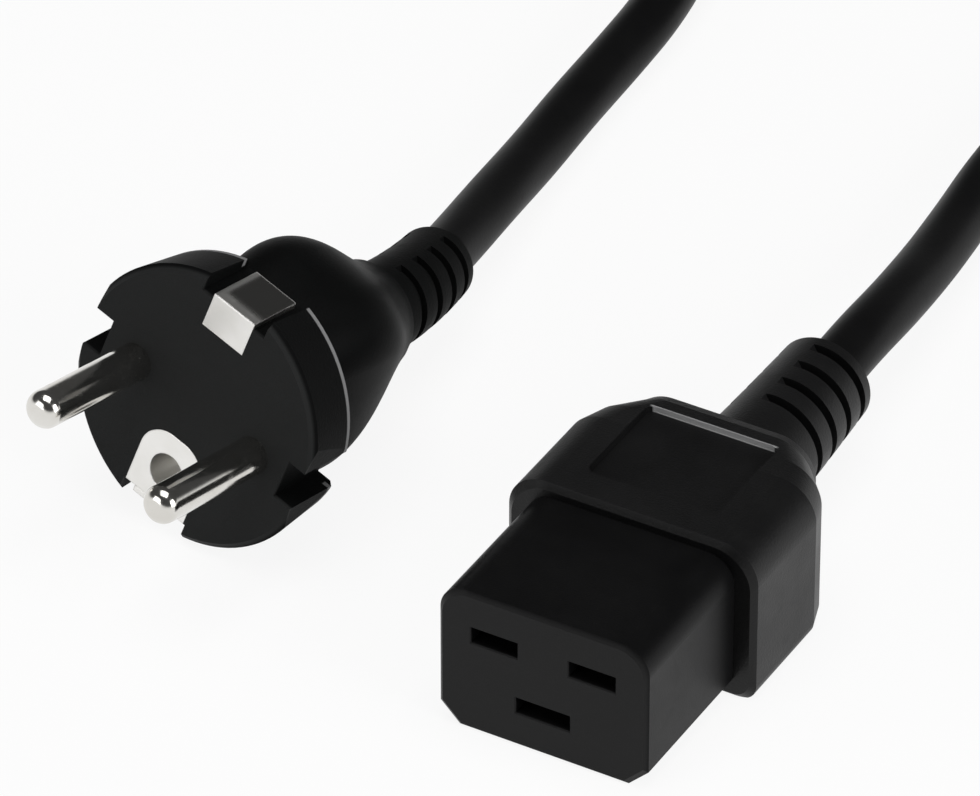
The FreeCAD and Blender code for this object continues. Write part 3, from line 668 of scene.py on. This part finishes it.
def plated_metal(name, colour, tarnish, roughness, edge=0.0):
    """Pressed or turned metal: a bright colour that dulls in patches, and rougher scuffs."""
    material, tree, shader = new_material(name, Metallic=1.0)
    handling = use_group(tree, HANDLING, Patch_mm=METAL_PATCH_MM, Scuff_mm=METAL_SCUFF_MM)
    dulled = mix_colours(tree, handling.outputs["Patches"], colour, tarnish)
    tree.links.new(dulled, shader.inputs["Base Color"])
    scuffed = range_node(tree, handling.outputs["Scuffs"], 0.0, 1.0, *roughness)
    tree.links.new(scuffed, shader.inputs["Roughness"])
    texture = use_group(tree, MOULD_TEXTURE, Cell_mm=METAL_GRAIN_MM)
    bump(tree, shader, texture.outputs["Height"], METAL_GRAIN_DEPTH, edge)
    return material


NICKEL = plated_metal(
    "nickel", colour=(0.76, 0.75, 0.72), tarnish=(0.66, 0.64, 0.60), roughness=(0.14, 0.28))
SATIN_NICKEL = plated_metal(
    "satin_nickel", colour=(0.82, 0.81, 0.79), tarnish=(0.76, 0.75, 0.72), roughness=(0.36, 0.46),
    edge=0.3 * MM)
BRASS = plated_metal(
    "contact_brass", colour=(0.72, 0.56, 0.28), tarnish=(0.60, 0.44, 0.21), roughness=(0.22, 0.4))
COPPER = plated_metal(
    "copper_wire", colour=(0.78, 0.40, 0.22), tarnish=(0.62, 0.29, 0.15), roughness=(0.28, 0.45))
print("metals", [material.name for material in (NICKEL, SATIN_NICKEL, BRASS, COPPER)])

# %% [markdown]
# ### The track of the socket's springs
# Each time the plug goes in, two springs in the socket wipe along its side clips and leave a
# smooth track in the satin plating; its darker grey is a painted reflection of the dark ceiling.
# It could be a thin plate on each clip; three bands in the plug's own frame draw it on both clips
# at once, because the first of them reads how far a point lies from the plug's middle, up or down.

# %% Track of the socket's springs on the earth clips, with a painted dark reflection
TRACK_OUT = (15.8, 0.1, 0.1)
TRACK_ACROSS = (0.5, 2.6, 0.6)
TRACK_ALONG = (6.6, 4.2, 1.2)
# painted reflection: the track's darker grey stands for the dark ceiling mirrored in the clips; its lower
# roughness is the wiped track
TRACK_DARK_REFLECTION_GREY = (0.4, 0.395, 0.38)
TRACK_ROUGHNESS = 0.14

clip_tree = SATIN_NICKEL.node_tree
clip_x, clip_y, clip_z, _ = place_on_plug(clip_tree)
clip_out = math_node(clip_tree, "ABSOLUTE", clip_z)
# the smoother track, with its painted dark reflection
track = overlap(clip_tree, (clip_out, TRACK_OUT), (clip_x, TRACK_ACROSS), (clip_y, TRACK_ALONG))
mark(SATIN_NICKEL, track, TRACK_DARK_REFLECTION_GREY, TRACK_ROUGHNESS)
print("spring track", 2 * TRACK_ACROSS[1], "mm wide")

# %% [markdown]
# ## Core insulation
# Three cores run inside the cord: brown, blue and green-and-yellow. They could carry stripes and
# print, but they show only where the plug and the connector are cut open in a teardown. So a
# plain satin plastic is enough, with the same handling patches as everything else.

# %% Core insulation
CORE_PATCH_MM = 5.0
CORE_ROUGHNESS = (0.38, 0.5)


def insulation(name, colour, dull):
    """Satin plastic of one core: its colour dulls in patches, and scuffs are rougher."""
    material, tree, shader = new_material(name)
    handling = use_group(tree, HANDLING, Patch_mm=CORE_PATCH_MM)
    dulled = mix_colours(tree, handling.outputs["Patches"], colour, dull)
    tree.links.new(dulled, shader.inputs["Base Color"])
    scuffed = range_node(tree, handling.outputs["Scuffs"], 0.0, 1.0, *CORE_ROUGHNESS)
    tree.links.new(scuffed, shader.inputs["Roughness"])
    return material


CORE_BROWN = insulation("core_brown", (0.20, 0.09, 0.045), (0.17, 0.075, 0.04))
CORE_BLUE = insulation("core_blue", (0.05, 0.16, 0.42), (0.045, 0.14, 0.36))
CORE_EARTH = insulation("core_green_yellow", (0.50, 0.58, 0.06), (0.45, 0.53, 0.07))
print("cores", [material.name for material in (CORE_BROWN, CORE_BLUE, CORE_EARTH)])

# %% [markdown]
# ## The tie's cloth
# The tie is woven nylon tape with a soft nap. A weave could be modelled thread by thread; at this
# size two crossed sine waves in the bump give the same small checks of light.

# %% Woven strap
CLOTH_SPECULAR = 0.2
CLOTH_ROUGHNESS = 0.8
CLOTH_PATCH_MM = 5.0
THREAD_PITCH_MM = 1.1
THREAD_HEIGHT = 0.08 * MM


def weave(name, colour, dull):
    """Woven tape: threads cross at an even pitch, h = sin(kx) sin(k(y + z)), under a soft nap."""
    material, tree, shader = new_material(
        name, Specular_IOR_Level=CLOTH_SPECULAR, Roughness=CLOTH_ROUGHNESS)
    handling = use_group(tree, HANDLING, Patch_mm=CLOTH_PATCH_MM)
    dulled = mix_colours(tree, handling.outputs["Patches"], colour, dull)
    tree.links.new(dulled, shader.inputs["Base Color"])
    strap_x, strap_y, strap_z = object_axes(tree)
    wave_number = math.tau / MM / THREAD_PITCH_MM
    warp = math_node(tree, "SINE", math_node(tree, "MULTIPLY", strap_x, wave_number))
    lengthwise = math_node(tree, "ADD", strap_y, strap_z)
    weft = math_node(tree, "SINE", math_node(tree, "MULTIPLY", lengthwise, wave_number))
    bump(tree, shader, math_node(tree, "MULTIPLY", warp, weft), THREAD_HEIGHT)
    return material


STRAP_WEAVE = weave("tie_strap", (0.012, 0.012, 0.0125), (0.02, 0.02, 0.0205))
print("weave", STRAP_WEAVE.name)

# %% [markdown]
# ## Finish of the solids
# Each solid of the CAD model keeps its shape and gets one of the materials above. It could be
# done by a list of every name; a short table of what the names start or end with says the rule,
# and the longest match wins. The solids of the cord and its tie match nothing, because the new
# pieces replace them.

# %% Finish of the CAD nodes
FINISHES = {
    "c19_contact_carrier": CARRIER_BLACK,
    "c19_overmould": MOULD_BLACK,
    "plug_overmould": PLUG_BLACK,
    "plug_bridge": BRIDGE_PLASTIC,
    "plug_pin": NICKEL,
    "plug_earth": SATIN_NICKEL,
    "c19_contact": BRASS,
    "c19_wire": COPPER,
    "plug_wire": COPPER,
    "sheath_end": SHEATH_BLACK,
    "core_line": CORE_BROWN,
    "core_neutral": CORE_BLUE,
    "core_earth": CORE_EARTH,
}


def finish_node(name):
    """Material whose key the node's name starts or ends with, the longest key first, or None."""
    for key in sorted(FINISHES, key=len, reverse=True):
        if name.startswith(key) or name.endswith(key):
            return FINISHES[key]
    return None


for name, solid in NODES.items():
    finish = finish_node(name)
    if finish:
        solid.data.materials.clear()
        solid.data.materials.append(finish)
        print(name, finish.name)

# %% [markdown]
# ## The coil's tie
# A woven hook-and-loop strap goes once round the coil and closes on itself: its free end lies on
# the layer below. It could be a bent plane with a Solidify modifier; a profile swept along a
# rounded rectangle that steps outwards by one thickness shows the step and the cut end.

# %% Path of the tie
TIE_T = 1.2 * MM
TIE_AT = (41.707 * MM, 8.9 * MM)  # y from the coil's middle, and z
TIE_HALF = (12.293 * MM, 8.3 * MM)  # half the rectangle's y and z
TIE_CORNER = 2.9 * MM
TIE_OVERLAP = 8.6 * MM
TIE_STEP = 4.0 * MM
TIE_RINGS = 260


def tie_path():
    """Middle line of the strap in the plane across the cord, with its outward normals.

    It starts on top, goes round a rectangle with arcs at its corners and steps outwards by
    h(s) = T (3t^2 - 2t^3), t = (s - s1) / step, with s1 one step before it meets its own start.
    """
    flat_y = TIE_HALF[0] - TIE_CORNER
    flat_z = TIE_HALF[1] - TIE_CORNER
    arc = TIE_CORNER * math.pi / 2
    lengths = (flat_y, arc, 2 * flat_z, arc, 2 * flat_y, arc, 2 * flat_z, arc, flat_y)
    ends = np.append(0, np.cumsum(lengths))
    around = ends[-1]
    s = np.linspace(0, around + TIE_OVERLAP, TIE_RINGS)
    where = np.mod(s, around)
    quarter = np.stack([(where - ends[k]) / arc for k in (1, 3, 5, 7)])
    turn = np.clip(quarter, 0, 1).sum(0) * math.pi / 2
    normal = np.stack([np.sin(turn), np.cos(turn)], 1)
    run_y = np.clip(where, 0, ends[1]) - 2 * flat_y * np.clip((where - ends[4]) / (2 * flat_y), 0, 1)
    run_y += np.clip(where - ends[8], 0, None)
    run_z = flat_z - 2 * flat_z * np.clip((where - ends[2]) / (2 * flat_z), 0, 1)
    run_z += 2 * flat_z * np.clip((where - ends[6]) / (2 * flat_z), 0, 1)
    middle = np.stack([run_y, run_z], 1) + TIE_CORNER * normal
    t = np.clip((s - around + TIE_STEP) / TIE_STEP, 0, 1)
    middle += (TIE_T * t * t * (3 - 2 * t))[:, None] * normal
    return middle + np.array(TIE_AT), normal


tie_line, tie_normal = tie_path()
print("tie path", len(tie_line), "points")

# %% Tie
TIE_W = 12.0 * MM
TIE_EDGE = 0.3 * MM
half_w, half_t = TIE_W / 2, TIE_T / 2
profile = np.array([
    (-half_w, -half_t + TIE_EDGE), (-half_w + TIE_EDGE, -half_t),
    (half_w - TIE_EDGE, -half_t), (half_w, -half_t + TIE_EDGE),
    (half_w, half_t - TIE_EDGE), (half_w - TIE_EDGE, half_t),
    (-half_w + TIE_EDGE, half_t), (-half_w, half_t - TIE_EDGE),
])
rings = np.zeros((len(tie_line), len(profile), 3))
rings[..., 0] = COIL_AT.x + profile[:, 0]
rings[..., 1:] = tie_line[:, None] + profile[None, :, 1, None] * tie_normal[:, None]
rings[..., 1] += COIL_AT.y
tie_mesh = grid_mesh("coil_tie", rings, closed=True, caps=True)
tie = place("coil_tie", tie_mesh, STRAP_WEAVE, smooth=False)
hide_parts("cord_coil_tie")
print("tie", len(tie_mesh.polygons), "faces")

# %% [markdown]
# ## The cord's sheath
# The sheath is soft PVC pressed round three twisted cores, so it swells very slightly three times
# round, and the swellings turn with the cores. A curve's round bevel would leave it perfectly
# smooth; here rings follow the spline's own line, with radius
# R - e + e cos(3 (angle - 2 pi s / lay)).

# %% The cord's tube
CORES = 3
CORE_LAY = 75 * MM
CORE_SWELL = 0.04 * MM
RING_POINTS = 32
ring_turn = np.linspace(0, math.tau, RING_POINTS, endpoint=False)
swell = np.cos(CORES * (ring_turn[None, :] - math.tau * along[:, None] / CORE_LAY))
cord_radius = CORD_D / 2 - CORE_SWELL + CORE_SWELL * swell
cord_mesh = grid_mesh("cord", tube_rings(line, cord_radius), closed=True, caps=True)
cord = place("cord", cord_mesh, SHEATH_BLACK)
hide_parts("cord_connector_run", "cord_coil", "cord_plug_run")
print("cord tube", len(cord_mesh.polygons), "faces")

# %% [markdown]
# ## Floor and light
# The lead lies on a white table in soft studio light. A floor of plain white would turn grey
# under lamps that suit black pieces. So rays from the camera, from mirrors and through glass see
# most of it as glowing white, and the share that is left to the lamps keeps the soft shadow.

# %% Floor
FLOOR_HALF = 12.0
FLOOR_WHITE = (0.92, 0.92, 0.92, 1)
FLOOR_ROUGHNESS = 0.9
FLOOR_SPECULAR = 0.1
FLOOR_SHADOW = 0.1  # share of the floor that is left to the lamps
GLOW_WHITE = (1, 1, 1, 1)

floor_mesh = grid_mesh("floor", np.array(
    [[(-FLOOR_HALF, -FLOOR_HALF, 0), (-FLOOR_HALF, FLOOR_HALF, 0)],
     [(FLOOR_HALF, -FLOOR_HALF, 0), (FLOOR_HALF, FLOOR_HALF, 0)]]))
floor = bpy.data.objects.new("floor", floor_mesh)
scene.collection.objects.link(floor)
floor_material, floor_tree, floor_shader = new_material(
    "floor_white", Base_Color=FLOOR_WHITE, Roughness=FLOOR_ROUGHNESS, Specular_IOR_Level=FLOOR_SPECULAR)
floor_mesh.materials.append(floor_material)
glow = node(floor_tree, "Emission", in_Color=GLOW_WHITE, in_Strength=1.0)
rays = node(floor_tree, "LightPath").outputs
seen = math_node(floor_tree, "ADD", rays["Is Camera Ray"], rays["Is Glossy Ray"], clamp=True)
seen = math_node(floor_tree, "ADD", seen, rays["Is Transmission Ray"], clamp=True)
blend = node(floor_tree, "MixShader")
floor_tree.links.new(math_node(floor_tree, "MULTIPLY", seen, 1 - FLOOR_SHADOW), blend.inputs[0])
floor_tree.links.new(floor_shader.outputs[0], blend.inputs[1])
floor_tree.links.new(glow.outputs[0], blend.inputs[2])
floor_tree.links.new(blend.outputs[0], floor_tree.nodes["Material Output"].inputs["Surface"])
print("floor", 2 * FLOOR_HALF, "m square")

# %% [markdown]
# ## The sky over the table
# The world stands in for the studio's walls and ceiling: bright near the horizon, dark overhead.
# An even white world would be simpler and would grey every top face; the dark ceiling is what
# keeps the tops of black plastic black, while its upright sides still mirror the white table.

# %% World
WORLD_HORIZON = 0.9
WORLD_TOP = 0.06
WORLD_FADE = (0.08, 0.26)  # sine of the height at which the light starts to fall off, and ends

world = bpy.data.worlds.new("studio")
scene.world = world
world.use_nodes = True
sky = world.node_tree
direction = node(sky, "SeparateXYZ")
sky.links.new(node(sky, "TexCoord").outputs["Generated"], direction.inputs[0])
strength = range_node(sky, direction.outputs["Z"], *WORLD_FADE, WORLD_HORIZON, WORLD_TOP)
sky.links.new(strength, sky.nodes["Background"].inputs["Strength"])
sky.nodes["Background"].inputs["Color"].default_value = GLOW_WHITE
print("world", WORLD_HORIZON, "to", WORLD_TOP)

# %% [markdown]
# ## Lamps
# Three large soft squares: overhead for form, one at the right for the flank of the connector,
# and a weak one at the front left for the faces. Small lamps could light it just as well, but
# they draw hard spots on the pins, where a square's mirror image is a calm patch.

# %% Lamps
LAMPS_AIM = Vector((-0.02, 0.02, 0.01))


def softbox(name, at, side, watts):
    """Square area lamp aimed at the middle of the lead."""
    data = bpy.data.lights.new(name, "AREA")
    data.size = side
    data.energy = watts
    lamp = bpy.data.objects.new(name, data)
    scene.collection.objects.link(lamp)
    aim = LAMPS_AIM - Vector(at)
    lamp.matrix_world = Matrix.Translation(at) @ aim.to_track_quat("-Z", "Y").to_matrix().to_4x4()
    return lamp


lamps = (
    softbox("overhead", at=(0.0, -0.1, 1.3), side=0.9, watts=9.0),
    softbox("right_side", at=(1.3, -0.1, 0.55), side=0.8, watts=12.0),
    softbox("front_left", at=(-0.7, -1.2, 0.5), side=0.8, watts=5.0),
)
print("lamps", [lamp.name for lamp in lamps])
